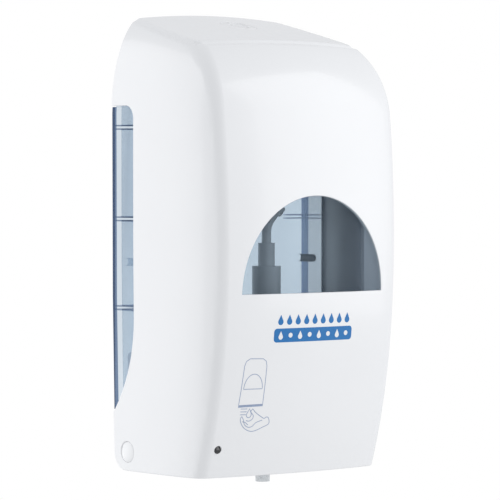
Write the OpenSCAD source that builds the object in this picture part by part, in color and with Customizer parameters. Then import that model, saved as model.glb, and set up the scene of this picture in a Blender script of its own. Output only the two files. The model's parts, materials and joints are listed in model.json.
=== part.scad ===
// Wall mounted automatic soap dispenser.
// X runs to the right, -Y runs out from the wall into the room, Z runs up.
// The origin is the centre of the four wall screws, on the back face.
// Inside the modules a place is given as x, q and z: q is the depth out from
// the wall, and z is the height above the bottom edge of the cover.

/* [Cover shape] */
// Width of the cover at its widest
body_w = 156.4; // [156:0.2:164]
// Depth of the cover at its deepest
body_d = 109.8; // [109.4:0.2:116]
// Height of the top panel's plane where it meets the wall
body_h = 288.2; // [287.6:0.1:296]
// Wall thickness of the cover
cover_t = 2.8; // [2.4:0.1:3.0]
// Fall of the top panel for each mm out from the wall
top_slope = 0.237; // [0.225:0.001:0.25]
// Height where the plane of the sloping brow meets the wall
brow_z = 318.9; // [314:0.1:324]
// Fall of the brow for each mm out from the wall
brow_slope = 0.628; // [0.60:0.001:0.65]
// Blend of the upright corners
corner_blend = 13.9; // [12:0.1:16]
// Blend between the front and the brow
brow_blend = 21; // [16:0.5:26]

/* [Window and side cutouts] */
// Half width of the level window
window_a = 55.3; // [50:0.1:57]
// Height of the level window
window_b = 60; // [54:0.5:62]
// Height of the window's flat bottom edge
window_z = 113.4; // [112:0.1:118]
// Depth of the side cutouts
notch_q = 22.5; // [18:0.5:23]
// Height of the top edge of the side cutouts
notch_top = 229.5; // [222:0.5:232]
// Height where the taper of the side cutouts starts
notch_taper_z = 98; // [90:1:104]
// Height of the lower tip of the side cutouts
notch_tip_z = 37; // [34:0.5:44]

/* [Hinge and lock] */
// Depth of the hinge pins out from the wall
hinge_q = 13.6; // [13:0.1:14.4]
// Height of the hinge pins
hinge_z = 12; // [11.6:0.1:13]
// Radius of the hinge pins
hinge_r = 3; // [2.5:0.1:3.5]
// Depth of the lock out from the wall
lock_q = 30; // [29:0.5:31]

/* [Soap and pump] */
// Half width of the soap tank
tank_x = 60; // [56:1:61]
// Depth of the tank's front wall
tank_front = 88; // [84:1:89]
// Height of the tank's roof
tank_top = 232; // [226:1:232]
// Wall thickness of the tank
tank_t = 2; // [1.6:0.1:2.4]
// Depth of the nozzle and the pump tube
tube_q = 54.5; // [54:0.5:55]
// Outer radius of the nozzle
nozzle_r = 4.65; // [4.4:0.05:5]
// Length of the nozzle below the cover
nozzle_out = 7.8; // [6:0.1:9]

/* [Wall fixing] */
// Spacing of the wall screws across
screw_x = 80; // [76:1:84]
// Spacing of the wall screws up and down
screw_z = 224; // [220:1:228]
// Radius of the wall screw holes
screw_r = 2.6; // [2.2:0.1:3]

/* [Hidden] */

$fn = 64;
mount_z = 134;             // height of the wall screw centre above the bottom edge
e = 0.01;                  // overshoot of a cutting tool
run = 0.05;                // radial clearance of a running fit

belly = 1.0;               // narrowing of the sides 100 mm below belly_z
belly_z = 158;
shoulder_z = 223.4;        // height where the shoulders start to curve in
shoulder_h = 66.7;
shoulder_in = 30.6;
front_z = 144.5;           // height where the front is deepest
lean_up = 7.16;            // lean of the front 100 mm above front_z
lean_down = 7.73;          // square and cubic lean of the front 100 mm below front_z
lean_foot = 2.06;
front_bow = 1.225;         // bow of the front across its width, mm per 1000 mm2
brow_bow = 1.518;
top_bow = 0.903;
top_blend = 3;
corner_from = 190;         // the upright corners grow rounder above this height
corner_more = 4.94;        // extra blend of the corners 90 mm higher
notch_round = 8;           // upper front corner of the side cutouts
foot_r = 11.5;             // rounding of the lower rear corners

fan_z = 212;               // height of the axis that the upper rows of the cover fan about
cover_cols = 48;           // facets of the cover from one side to the other
flat_rows = [0, 12, 28, 48, 70, 94, 118, 142, 166, 190, fan_z];
fan_rows = [7, 14, 20, 25, 30, 36, 42, 47, 52, 58, 65, 73, 81, 90];

plate_t = 3;               // back plate
plate_inset = 4.3;         // back plate's edge, in from the cover's outer skin
side_inset = 3.5;          // side walls of the back plate, in from the same skin
side_top = 238;
rib_z = [102.4, 158.4, 216];
peg_z = 131.3;
striker_x = -10.5;         // screw of the lock's striker
striker_z = 248;
ear_x = body_w / 2 - cover_t - 3.2;  // outer face of the hinge ears
post_x = [-38, 46];        // posts that carry the pump chassis
post_z = [36, 78];
notch_arc = (pow(notch_q, 2) + pow(notch_taper_z - notch_tip_z, 2)) / (2 * notch_q);

lock_tilt = atan(top_slope);
shelf_z = 95;
tank_z = 98.5;             // underside of the tank
tank_back = 14;
tank_round = 8;            // upright corners of the tank
lid_q = 26;                // lid hinge
lid_z = tank_top + 5;
valve_q = 58.5;            // stepped inlet body of the outlet valve
rotor_x = -10;             // pump rotor
rotor_z = 56;
wrap_r = 16;               // bend radii of the pump tube, at its middle
bend_r = 10;
tube_r = 3.5;
bore_r = 2;
head_q = 64.5;             // front of the pump head
head_t = 2.5;
shaft_r = 2.5;
slot_w = 0.7;              // width of the slots in the screws' heads
roller_at = 8.2;
roller_r = 4;
module_mm = 0.8;           // gear module
rotor_teeth = 45;
big_teeth = 36;
small_teeth = 12;
idler_x = rotor_x + module_mm * (rotor_teeth + small_teeth) / 2;
motor_x = idler_x + module_mm * (big_teeth + small_teeth) / 2;
chassis_q = 38;            // rear face of the pump chassis plate
chassis_t = 3;
neck_r = 4.2;              // the nozzle's neck, inside its grommet
tray_z = 2;
tray_t = 2.5;
led_x = -61.3;
led_z = 18;
cell_r = 7.25;             // AA cell
cell_h = 49;

// ---- shape of the cover ----

function limit01(v) = min(max(v, 0), 0.9999);
function half_width(z) = body_w / 2 - belly * pow(min(z - belly_z, 0) / 100, 2)
    - shoulder_in * (1 - sqrt(1 - pow(limit01((z - shoulder_z) / shoulder_h), 2)));
function taper(q) = 1.64 * (q / 100) + 2.58 * pow(q / 100, 2) + 2.05 * pow(q / 100, 4);
function front_q(z) = body_d - lean_up * pow(max(z - front_z, 0) / 100, 2)
    - lean_down * pow(max(front_z - z, 0) / 100, 2) - lean_foot * pow(max(front_z - z, 0) / 100, 3);
// larger of two distances, blended over k
function soft_max(a, b, k) = max(a, b) + pow(max(k - abs(a - b), 0) / k, 2) * k / 4;
// signed distance, roughly, from the outer skin: negative inside
function front_and_brow(x, q, z) = soft_max(q - front_q(z) + front_bow * x * x / 1000,
    (z - brow_z + brow_slope * q + brow_bow * x * x / 1000) / norm([1, brow_slope]), brow_blend);
function corner_at(z) = corner_blend + corner_more * pow(limit01((z - corner_from) / 90), 2);
function sides(x, q, z) = abs(x) - half_width(z) + taper(q);
function below_top(x, q, z) = soft_max(front_and_brow(x, q, z), sides(x, q, z), corner_at(z));
function top_panel(x, q, z) = z - body_h + top_slope * q + top_bow * x * x / 1000;
function skin(x, q, z) = soft_max(below_top(x, q, z), top_panel(x, q, z), top_blend);
// distance from the point (0, 0, z) along a ray [x, q, z] to the skin's inner offset
function reach(z, ray, inset, near = 10, far = 340, n = 24) = let(m = (near + far) / 2)
    n == 0 ? m
    : skin(m * ray[0], m * ray[1], z + m * ray[2]) < -inset ? reach(z, ray, inset, m, far, n - 1)
    : reach(z, ray, inset, near, m, n - 1);
function on_ray(z, ray, inset) = let(d = reach(z, ray, inset)) [d * ray[0], -d * ray[1], z + d * ray[2]];
// depth of the inner offset at a place on the front
function front_at(x, z, inset, near = 30, far = 130, n = 22) = let(m = (near + far) / 2)
    n == 0 ? m
    : skin(x, m, z) < -inset ? front_at(x, z, inset, m, far, n - 1)
    : front_at(x, z, inset, near, m, n - 1);

// rows of the cover: [height of the ray's start, tilt of the ray above level]
rows = concat([for (z = flat_rows) [z, 0]], [for (a = fan_rows) [fan_z, a]]);
last_flat = len(flat_rows) - 1;
last_row = len(rows) - 1;
function sheet_points(inset) = [for (r = rows) for (c = [0:cover_cols]) let(t = -90 + 180 * c / cover_cols)
    on_ray(r[0], [sin(t), cos(t) * cos(r[1]), cos(t) * sin(r[1])], inset)];
// every row of the fan shares its first and last point
function at_row(r, c) = (c == 0 || c == cover_cols) ? min(r, last_flat) * (cover_cols + 1) + c
    : r * (cover_cols + 1) + c;
function quad(a, b, c, d) = [if (a != b && b != c && a != c) [a, b, c],
                             if (a != c && c != d && a != d) [a, c, d]];
sheet_n = len(rows) * (cover_cols + 1);
function sheet_faces(shift, flip) = [for (r = [0:last_row - 1]) for (c = [0:cover_cols - 1])
    for (f = quad(at_row(r, c), at_row(r + 1, c), at_row(r + 1, c + 1), at_row(r, c + 1)))
    flip ? [f[2] + shift, f[1] + shift, f[0] + shift] : [f[0] + shift, f[1] + shift, f[2] + shift]];
function rim_faces(a, b) = quad(a, b, b + sheet_n, a + sheet_n);

module cover_cup() {
    foot_rim = [for (c = [0:cover_cols - 1]) for (f = rim_faces(at_row(0, c), at_row(0, c + 1))) f];
    left_rim = [for (r = [0:last_flat - 1]) for (f = rim_faces(at_row(r + 1, 0), at_row(r, 0))) f];
    right_rim = [for (r = [0:last_flat - 1])
        for (f = rim_faces(at_row(r, cover_cols), at_row(r + 1, cover_cols))) f];
    arch_rim = [for (c = [0:cover_cols - 1])
        for (f = rim_faces(at_row(last_row, c + 1), at_row(last_row, c))) f];
    polyhedron(points = concat(sheet_points(0), sheet_points(cover_t)),
               faces = concat(sheet_faces(0, false), sheet_faces(sheet_n, true),
                              foot_rim, left_rim, right_rim, arch_rim), convexity = 6);
}

// ---- helpers ----

module on_wall() { translate([0, 0, -mount_z]) children(); }
module block(x0, x1, q0, q1, z0, z1) { translate([x0, -q1, z0]) cube([x1 - x0, q1 - q0, z1 - z0]); }
module rod_x(x0, x1, q, z, r) { translate([x0, -q, z]) rotate([0, 90, 0]) cylinder(h = x1 - x0, r = r); }
module rod_q(x, q0, q1, z, r) { translate([x, -q0, z]) rotate([90, 0, 0]) cylinder(h = q1 - q0, r = r); }
module rod_z(x, q, z0, z1, r) { translate([x, -q, z0]) cylinder(h = z1 - z0, r = r); }
// a flat shape drawn in x and z, thick from q0 to q1
module wall_sheet(q0, q1) { translate([0, -q0, 0]) rotate([90, 0, 0]) linear_extrude(q1 - q0) children(); }
// a flat shape drawn in q and z, thick from x0 to x1
module side_sheet(x0, x1) { translate([x1, 0, 0]) rotate([90, 0, -90]) linear_extrude(x1 - x0) children(); }
module both_sides() { children(); mirror([1, 0, 0]) children(); }
module rounded(x0, x1, y0, y1, r) {
    translate([x0 + r, y0]) square([x1 - x0 - 2 * r, y1 - y0]);
    translate([x0, y0 + r]) square([x1 - x0, y1 - y0 - 2 * r]);
    for (x = [x0 + r, x1 - r]) for (y = [y0 + r, y1 - r]) translate([x, y]) circle(r);
}
module rounded_block(x0, x1, q0, q1, z0, z1, r) {
    translate([0, 0, z0]) linear_extrude(z1 - z0) rounded(x0, x1, -q1, -q0, r);
}
// what the rounding of the lower rear edge takes away
module foot_corner() {
    side_sheet(-90, 90) difference() {
        translate([-1, -1]) square(foot_r + 1);
        translate([foot_r, foot_r]) circle(foot_r);
    }
}
module at_lock() {
    translate([0, -lock_q, body_h - top_slope * lock_q]) rotate([lock_tilt, 0, 0]) children();
}

// outline of the side cutout in q and z, shrunk by a gap
function notch_outline(gap) = let(r = notch_arc - gap, cq = notch_q - notch_arc, n = 12,
    end = acos((-1 - cq) / r),
    corner_q = notch_q - gap - notch_round, corner_z = notch_top - gap - notch_round)
    concat([for (i = [n:-1:0]) let(a = -i * end / n) [cq + r * cos(a), notch_taper_z + r * sin(a)]],
           [for (a = [0:15:90]) [corner_q + notch_round * cos(a), corner_z + notch_round * sin(a)]],
           [[-1, notch_top - gap]]);
// outline of the body where it meets the wall, in x and z
function wall_outline(inset, foot) = let(side = [foot, 40, 75, 110, 145])
    concat([for (z = side) [half_width(z) - inset, z]],
           [for (a = [4:4:176]) let(p = on_ray(150, [cos(a), 0, sin(a)], inset)) [p[0], p[2]]],
           [for (i = [len(side) - 1:-1:0]) [inset - half_width(side[i]), side[i]]]);
// level section of the body, in x and y
function level_outline(z, inset, q0) = concat(
    [for (t = [-87:6:87]) let(p = on_ray(z, [sin(t), cos(t), 0], inset)) if (p[1] < -q0 - 1) [p[0], p[1]]],
    [[half_width(z) - inset - taper(q0), -q0], [inset - half_width(z) + taper(q0), -q0]]);
function window_half(x, a) = sqrt(max(1 - pow(x / a, 2), 0));
module window_outline(grow) {
    a = window_a + grow;
    b = window_b + 2 * grow;
    polygon([for (t = [0:5:180]) [a * cos(t), window_z - grow + b * window_half(a * cos(t), a)]]);
}

// involute spur gear
pressure = 25;
function involute(r, base) = r <= base ? 0 : (sqrt(pow(r / base, 2) - 1) * 180 / PI - acos(base / r));
function gear_points(teeth, mod) = let(pitch = teeth * mod / 2, base = pitch * cos(pressure),
    tip = pitch + 0.8 * mod, root = pitch - 1.05 * mod, half = 90 / teeth * 0.90, foot = max(root, base))
    [for (k = [0:teeth - 1]) let(at = 360 * k / teeth, flank = [for (i = [0:3]) foot + (tip - foot) * i / 3],
        turn = [for (r = flank) half + involute(pitch, base) - involute(r, base)])
        for (p = concat([[root, -turn[0]]], [for (i = [0:3]) [flank[i], -turn[i]]],
                        [for (i = [3:-1:0]) [flank[i], turn[i]]], [[root, turn[0]]]))
        [p[0] * cos(at + p[1]), p[0] * sin(at + p[1])]];
module gear(x, z, q0, q1, teeth, turn) {
    translate([x, -q0, z]) rotate([90, 0, 0]) rotate(turn) linear_extrude(q1 - q0)
        polygon(gear_points(teeth, module_mm));
}

module screw_q(x, q, z, r, length, head_r, head_h) {
    difference() {
        union() {
            rod_q(x, q - length, q, z, r);
            rod_q(x, q, q + head_h, z, head_r);
        }
        for (turn = [0, 90]) translate([x, -q - head_h, z]) rotate([0, turn, 0])
            cube([head_r * 1.1, head_h, slot_w], center = true);
    }
}

// ---- cover ----

module front_cover() on_wall() color("white") difference() {
    cover_cup();
    wall_sheet(90, 140) window_outline(0);
    side_sheet(-90, 90) polygon(notch_outline(0));
    foot_corner();
    rod_x(-90, 90, hinge_q, hinge_z, hinge_r);
    both_sides() rod_x(half_width(hinge_z) - 2, 90, hinge_q, hinge_z, 6.6);
    at_lock() translate([0, 0, -1.5]) cylinder(h = 6, r = 11.6);
    at_lock() translate([0, 0, -8]) cylinder(h = 10, r = 10.1);
    rod_q(led_x, 70, 100, led_z, 2.5);
}

// the window's plate: columns across and rows up, on the front of the body
lens_cols = 26;
lens_rows = 10;
lens_a = window_a - 0.2;
lens_n = (lens_cols + 1) * (lens_rows + 1);
function lens_x(i) = -lens_a * cos(i * 180 / lens_cols);
function lens_z(i, j) = window_z + 0.2
    + max(window_b * window_half(lens_x(i), lens_a) - 0.4, 0.6) * j / lens_rows;
function lens_sheet(inset) = [for (i = [0:lens_cols]) for (j = [0:lens_rows])
    [lens_x(i), -front_at(lens_x(i), lens_z(i, j), inset), lens_z(i, j)]];
function lens_at(i, j) = i * (lens_rows + 1) + j;

// clear smoked window, set into the cover
module window_lens() on_wall() color([0.45, 0.53, 0.62, 0.6]) {
    front = [for (i = [0:lens_cols - 1]) for (j = [0:lens_rows - 1])
        for (f = quad(lens_at(i, j), lens_at(i, j + 1), lens_at(i + 1, j + 1), lens_at(i + 1, j))) f];
    back = [for (f = front) [f[2] + lens_n, f[1] + lens_n, f[0] + lens_n]];
    ring = concat([for (i = [0:lens_cols]) lens_at(i, 0)], [for (j = [1:lens_rows]) lens_at(lens_cols, j)],
                  [for (i = [lens_cols - 1:-1:0]) lens_at(i, lens_rows)],
                  [for (j = [lens_rows - 1:-1:1]) lens_at(0, j)]);
    edge = [for (k = [0:len(ring) - 1]) let(p = ring[k], r = ring[(k + 1) % len(ring)])
        for (f = quad(p, r, r + lens_n, p + lens_n)) f];
    polyhedron(points = concat(lens_sheet(0.4), lens_sheet(3.2)),
               faces = concat(front, back, edge), convexity = 4);
}

module indicator_plug() on_wall() color([0.1, 0.1, 0.12]) rod_q(led_x, 85.2, 88.2, led_z, 2.45);

module hinge_pins() on_wall() color("white") both_sides() {
    rod_x(69.3, half_width(hinge_z) - 2, hinge_q, hinge_z, hinge_r);
    rod_x(half_width(hinge_z) - 2, half_width(hinge_z) - 0.4, hinge_q, hinge_z, 6.5);
}

// ---- lock, drawn on its own tilted axis with z = 0 at the cover's skin ----

module lock_housing() on_wall() at_lock() color("white") difference() {
    union() {
        translate([0, 0, -1.5]) cylinder(h = 1.4, r = 11.5);
        translate([0, 0, -14]) cylinder(h = 12.5, r = 10);
    }
    translate([0, 0, -15]) cylinder(h = 16, r = 6 + run);
}
module lock_cylinder() on_wall() at_lock() color("gainsboro") difference() {
    union() {
        translate([0, 0, -16.5]) cylinder(h = 16.2, r = 6);
        translate([0, 0, -21.5]) cylinder(h = 5, r = 2.5);
    }
    translate([-4, -0.9, -2.5]) cube([8, 1.8, 3]);
}
module lock_cam() on_wall() at_lock() color("silver") difference() {
    union() {
        translate([0, 0, -19]) cylinder(h = 2.5, r = 6);
        translate([0, -3.5, -19]) cube([15, 7, 2.5]);
        translate([11.5, -3.5, -19]) cube([3.5, 16.5, 2.5]);
    }
    translate([0, 0, -20]) cylinder(h = 5, r = 2.5);
}
module lock_nut() on_wall() at_lock() color("silver") difference() {
    translate([0, 0, -21.5]) cylinder(h = 2.5, r = 4.4, $fn = 6);
    translate([0, 0, -22]) cylinder(h = 4, r = 2.5);
}
// bracket and post that the turned cam hooks behind
module lock_striker() on_wall() color("silver") difference() {
    union() {
        block(-16, -5, plate_t, 20, 256, 259);
        block(-16, -5, plate_t, plate_t + 2, 243, 259);
        at_lock() translate([-13, 7.5, -25]) cube([5.5, 3.5, 9.5]);
    }
    rod_q(striker_x, 0, 10, striker_z, 1.5);
}

// ---- back plate and tank ----

module back_plate() on_wall() color([0.55, 0.66, 0.76, 0.7]) difference() {
    union() {
        wall_sheet(0, plate_t) polygon(wall_outline(plate_inset, 3));
        intersection() {
            wall_sheet(0, notch_q + 1.5) difference() {
                polygon(wall_outline(side_inset, 3));
                polygon(wall_outline(side_inset + 2, 2));
            }
            block(-90, 90, -1, 40, 3, side_top);
        }
        both_sides() intersection() {
            wall_sheet(0, notch_q) difference() {
                polygon(wall_outline(0.6, 3));
                polygon(wall_outline(side_inset + 1, 2));
            }
            side_sheet(50, 90) polygon(notch_outline(0.7));
        }
        both_sides() for (z = rib_z)
            block(62, half_width(z) - side_inset - 1, 2, notch_q - 2, z - 0.8, z + 0.8);
        both_sides() rod_q(70, 2, 19, peg_z, 2.5);
        both_sides() rod_x(69.3, ear_x, hinge_q, hinge_z, 7.5);
        both_sides() block(69.3, ear_x, 1, hinge_q, hinge_z - 7.5, hinge_z + 7.5);
        for (x = post_x) for (z = post_z) rod_q(x, 1, chassis_q, z, 4);
    }
    foot_corner();
    both_sides() rod_x(60, 80, hinge_q, hinge_z, hinge_r + run);
    for (x = [-1, 1]) for (z = [-1, 1]) rod_q(x * screw_x / 2, -1, 5, mount_z + z * screw_z / 2, screw_r);
    for (x = post_x) for (z = post_z) rod_q(x, chassis_q - 12, chassis_q + 1, z, 1.3);
    rod_q(striker_x, 0.6, 5, striker_z, 1.3);
}

module tank_shelf() on_wall() color([0.62, 0.70, 0.78, 0.8]) difference() {
    union() {
        rounded_block(-64, 64, plate_t, 90, shelf_z, tank_z, 6);
        both_sides() side_sheet(40, 42.5)
            polygon([[plate_t, shelf_z], [70, shelf_z], [plate_t, shelf_z - 9]]);
    }
    rod_z(0, tube_q, shelf_z - 1, tank_z + 1, 7);
}

// open box of the tank
module soap_tank() on_wall() color([0.80, 0.86, 0.92, 0.5]) difference() {
    t = tank_t;
    rounded_block(-tank_x, tank_x, tank_back, tank_front, tank_z, tank_top - t, tank_round);
    rounded_block(t - tank_x, tank_x - t, tank_back + t, tank_front - t,
                  tank_z + t, tank_top, tank_round - t);
    rod_z(0, tube_q, tank_z - 1, tank_z + t + 1, 6);
}
// roof welded to the tank, with the filling neck and the lid's ears
module tank_roof() on_wall() color([0.80, 0.86, 0.92, 0.5]) {
    difference() {
        rounded_block(-tank_x, tank_x, tank_back, tank_front, tank_top - tank_t, tank_top, tank_round);
        rounded_block(-19, 19, 33, 57, tank_top - tank_t - 1, tank_top + 1, 5);
    }
    difference() {
        rounded_block(-21, 21, 31, 59, tank_top - e, tank_top + 3, 7);
        rounded_block(-19, 19, 33, 57, tank_top - 1, tank_top + 4, 5);
    }
    both_sides() difference() {
        union() {
            block(14, 18, lid_q - 3, lid_q + 3, tank_top - e, lid_z);
            rod_x(14, 18, lid_q, lid_z, 3);
        }
        rod_x(10, 20, lid_q, lid_z, 1.5);
    }
}

module tank_lid() on_wall() color([0.30, 0.46, 0.62]) difference() {
    union() {
        rounded_block(-23, 23, 29.5, 61.5, tank_top + 3.2, tank_top + 5.6, 6);
        rod_x(-13.5, 13.5, lid_q, lid_z, 2.6);
        block(-13.5, 13.5, lid_q, 34, tank_top + 3.4, tank_top + 5.6);
        rounded_block(-14, 14, 61, 65, tank_top + 3.2, tank_top + 5.6, 1.9);
        rounded_block(-17.2, 17.2, 34.8, 55.2, tank_top + 0.5, tank_top + 3.3, 3.2);
    }
    rounded_block(-15.2, 15.2, 36.8, 53.2, tank_top, tank_top + 3.2, 1.2);
    rod_x(-20, 20, lid_q, lid_z, 1.5 + run);
}
module lid_pin() on_wall() color("silver") rod_x(-18.5, 18.5, lid_q, lid_z, 1.5);
module lid_seal() on_wall() color([0.2, 0.2, 0.22]) difference() {
    rounded_block(-18.4, 18.4, 33.6, 56.4, tank_top + 1.2, tank_top + 2.6, 4.4);
    rounded_block(-17.2, 17.2, 34.8, 55.2, tank_top + 1, tank_top + 3, 3.2);
}

// ---- outlet and pump ----

module outlet_valve() on_wall() color([0.86, 0.89, 0.92]) difference() {
    union() {
        rod_z(0, tube_q, 86, 91, bore_r);
        rod_z(0, tube_q, 91, 104, 6);
        rod_z(0, valve_q - 1, tank_z + tank_t + 1.2, 104, 12);
        rod_z(0, valve_q, 104 - e, 128.6, 9.1);
        rod_z(0, valve_q, 128.6 - e, 143.2, 5.3);
    }
    rod_z(0, tube_q, 85, 126, 1.2);
    rod_z(0, valve_q, 124, 144, 3);
}
module valve_seal() on_wall() color([0.15, 0.15, 0.16]) difference() {
    rod_z(0, valve_q - 1, tank_z + tank_t, tank_z + tank_t + 1.2, 10);
    rod_z(0, tube_q, tank_z, tank_z + 5, 6);
}
module elbow(r, bend, hole, sweep) {
    rotate_extrude(angle = sweep) translate([bend, 0]) difference() {
        circle(r, $fn = 32);
        circle(hole, $fn = 32);
    }
}
module pickup_tube() on_wall() color([0.88, 0.91, 0.94]) translate([0, -valve_q, 0]) {
    lean = 42;
    difference() {
        translate([0, 0, 134]) cylinder(h = 16, r = 3);
        translate([0, 0, 133]) cylinder(h = 18, r = 2);
    }
    translate([12, 0, 150]) rotate([90, 0, 0]) rotate(180 - lean) elbow(3, 12, 2, lean);
    translate([12 - 12 * cos(lean), 0, 150 + 12 * sin(lean)]) rotate([0, lean, 0]) difference() {
        union() {
            cylinder(h = 9, r = 3);
            translate([0, 0, 6]) cylinder(h = 5, r = 4.4);
        }
        translate([0, 0, -1]) cylinder(h = 13, r = 2);
    }
}

module pump_chassis() on_wall() color("whitesmoke") difference() {
    wall_sheet(chassis_q, chassis_q + chassis_t) rounded(-43, 50, 30, 84, 5);
    rod_q(rotor_x, 30, 50, rotor_z, 4);
    rod_q(idler_x, 30, 50, rotor_z, 1.5);
    rod_q(motor_x, 30, 50, rotor_z, 3);
    for (x = post_x) for (z = post_z) rod_q(x, 30, 50, z, 1.7);
}

module head_outline() { rounded(-34, 9, 25, 87, 4); }
module at_head_screws() {
    for (x = [-30, 6]) for (z = [29, 83]) translate([x, 0, z]) children();
}
module pump_head() on_wall() color([0.90, 0.92, 0.94]) difference() {
    wall_sheet(chassis_q + chassis_t, head_q) head_outline();
    rod_q(rotor_x, 45, 70, rotor_z, wrap_r + tube_r + 0.1);
    block(rotor_x, tube_r + 0.1, tube_q - tube_r - 0.1, 70, 20, 90);
    rod_q(rotor_x, 40, 46, rotor_z, 6);
    at_head_screws() rod_q(0, 54, 70, 0, 1.3);
}
module pump_head_cover() on_wall() color([0.75, 0.83, 0.90, 0.6]) difference() {
    wall_sheet(head_q, head_q + head_t) head_outline();
    rod_q(rotor_x, 60, 70, rotor_z, shaft_r + run);
    at_head_screws() rod_q(0, 60, 70, 0, 1.7);
}

// soft tube: down from the valve, round the left of the rotor, down to the nozzle
module pump_tube() on_wall() color([0.92, 0.94, 0.96]) {
    top = rotor_z + wrap_r + bend_r;
    low = rotor_z - wrap_r - bend_r;
    for (span = [[top, 91], [16, low]]) difference() {
        rod_z(0, tube_q, span[0], span[1], tube_r);
        rod_z(0, tube_q, span[0] - 1, span[1] + 1, bore_r);
    }
    translate([rotor_x, -tube_q, top]) rotate([90, 0, 0]) rotate(-90) elbow(tube_r, bend_r, bore_r, 90);
    translate([rotor_x, -tube_q, rotor_z]) rotate([90, 0, 0]) rotate(90) elbow(tube_r, wrap_r, bore_r, 180);
    translate([rotor_x, -tube_q, low]) rotate([90, 0, 0]) elbow(tube_r, bend_r, bore_r, 90);
}

module round_rotor(count, first, r) {
    for (k = [0:count - 1]) translate([rotor_x, 0, rotor_z]) rotate([0, 360 * k / count + first, 0])
        translate([r, 0, 0]) children();
}
module at_rollers() { round_rotor(3, 90, roller_at) children(); }
module rotor() on_wall() color("steelblue") difference() {
    union() {
        rod_q(rotor_x, 45.6, 48, rotor_z, 12);
        rod_q(rotor_x, 61, 63.4, rotor_z, 12);
        rod_q(rotor_x, 45.6, 63.4, rotor_z, 3.9);
    }
    rod_q(rotor_x, 40, 70, rotor_z, shaft_r);
    at_rollers() rod_q(0, 44, 66, 0, 1.2);
}
module rotor_shaft() on_wall() color("silver") rod_q(rotor_x, 25.5, 66.5, rotor_z, shaft_r);
module rollers() on_wall() color("ghostwhite") at_rollers() difference() {
    rod_q(0, 48.4, 60.6, 0, roller_r);
    rod_q(0, 44, 66, 0, 1.2 + run);
}
module roller_pins() on_wall() color("silver") at_rollers() rod_q(0, 45.8, 63.2, 0, 1.2);
module rotor_bush() on_wall() color("goldenrod") difference() {
    union() {
        rod_q(rotor_x, chassis_q, 42, rotor_z, 4);
        rod_q(rotor_x, 41, 42.5, rotor_z, 5.5);
    }
    rod_q(rotor_x, 30, 50, rotor_z, shaft_r + run);
}
module rotor_gear() on_wall() color("ivory") difference() {
    union() {
        gear(rotor_x, rotor_z, 33, 36.5, rotor_teeth, 0);
        rod_q(rotor_x, 32, 37.5, rotor_z, 5);
    }
    round_rotor(5, 36, 10.5) rod_q(0, 30, 40, 0, 3);
    rod_q(rotor_x, 30, 40, rotor_z, shaft_r);
}
module idler_gear() on_wall() color("ivory") difference() {
    union() {
        gear(idler_x, rotor_z, 28.3, 31.3, big_teeth, 0);
        gear(idler_x, rotor_z, 31.3 - e, 36.8, small_teeth, 15);
    }
    rod_q(idler_x, 25, 40, rotor_z, 1.5 + run);
}
module idler_pin() on_wall() color("silver") rod_q(idler_x, 27, chassis_q + chassis_t, rotor_z, 1.5);
module motor() on_wall() color("silver") difference() {
    union() {
        intersection() {
            rod_q(motor_x, 41, 68, rotor_z, 12);
            block(motor_x - 13, motor_x + 13, 40, 70, rotor_z - 10, rotor_z + 10);
        }
        rod_q(motor_x, 68, 70, rotor_z, 9);
        rod_q(motor_x, chassis_q + 0.5, 41 + e, rotor_z, 3);
        for (z = [rotor_z - 6, rotor_z + 6]) block(motor_x - 1, motor_x + 1, 70 - e, 73, z - 0.3, z + 0.3);
    }
    rod_q(motor_x, 30, 50, rotor_z, 1 + run);
}
module motor_shaft() on_wall() color("silver") rod_q(motor_x, 27.5, 49.5, rotor_z, 1);
module motor_pinion() on_wall() color("goldenrod") difference() {
    gear(motor_x, rotor_z, 28, 33, small_teeth, 15);
    rod_q(motor_x, 25, 40, rotor_z, 1);
}
module gear_cover() on_wall() color("whitesmoke") difference() {
    wall_sheet(25, chassis_q) rounded(-32.5, 40.5, 34.5, 77.5, 6);
    wall_sheet(27, chassis_q + 1) rounded(-30.5, 38.5, 36.5, 75.5, 4);
    rod_q(rotor_x, 20, 30, rotor_z, shaft_r + run);
}

// ---- outlet, tray and sensors ----

module nozzle() on_wall() color([0.85, 0.88, 0.90]) difference() {
    union() {
        rod_z(0, tube_q, -nozzle_out, 0.4, nozzle_r);
        rod_z(0, tube_q, 0.4 - e, 10, neck_r);
        rod_z(0, tube_q, 6.5, 16, 6.2);
        rod_z(0, tube_q, 15, 23, bore_r);
    }
    rod_z(0, tube_q, -nozzle_out - 1, 24, 1.2);
    rod_z(0, tube_q, -nozzle_out - 1, 6, 3.2);
}
module nozzle_grommet() on_wall() color([0.35, 0.36, 0.38]) difference() {
    union() {
        rod_z(0, tube_q, tray_z, tray_z + tray_t, 7);
        rod_z(0, tube_q, tray_z + tray_t, 6.5, 9);
        rod_z(0, tube_q, 0.6, tray_z, 8.4);
    }
    rod_z(0, tube_q, -2, 8, neck_r);
}
module bottom_tray() on_wall() color("white") difference() {
    union() {
        translate([0, 0, tray_z]) linear_extrude(tray_t) polygon(level_outline(tray_z, 4.4, plate_t));
        translate([0, 0, tray_z + tray_t - e]) linear_extrude(5.3) difference() {
            polygon(level_outline(tray_z, 4.6, 24));
            polygon(level_outline(tray_z, 6.2, 23));
        }
        for (x = [-30, 30]) rod_z(x, 30, tray_z + tray_t - e, 9, 3);
    }
    both_sides() block(63, 80, 0, 25, 0, 11);
    block(led_x - 4, led_x + 4, 67.5, 73, tray_z + tray_t, 11);
    rod_z(0, tube_q, 0, 6, 7);
    block(-20, 20, 28, 40, 0, 6);
    for (x = [-30, 30]) rod_z(x, 30, 3.5, 10, 1.1);
}
module sensor_window() on_wall() color([0.12, 0.10, 0.14]) {
    block(-20, 20, 28, 40, tray_z, tray_z + 1.6);
}
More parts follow.
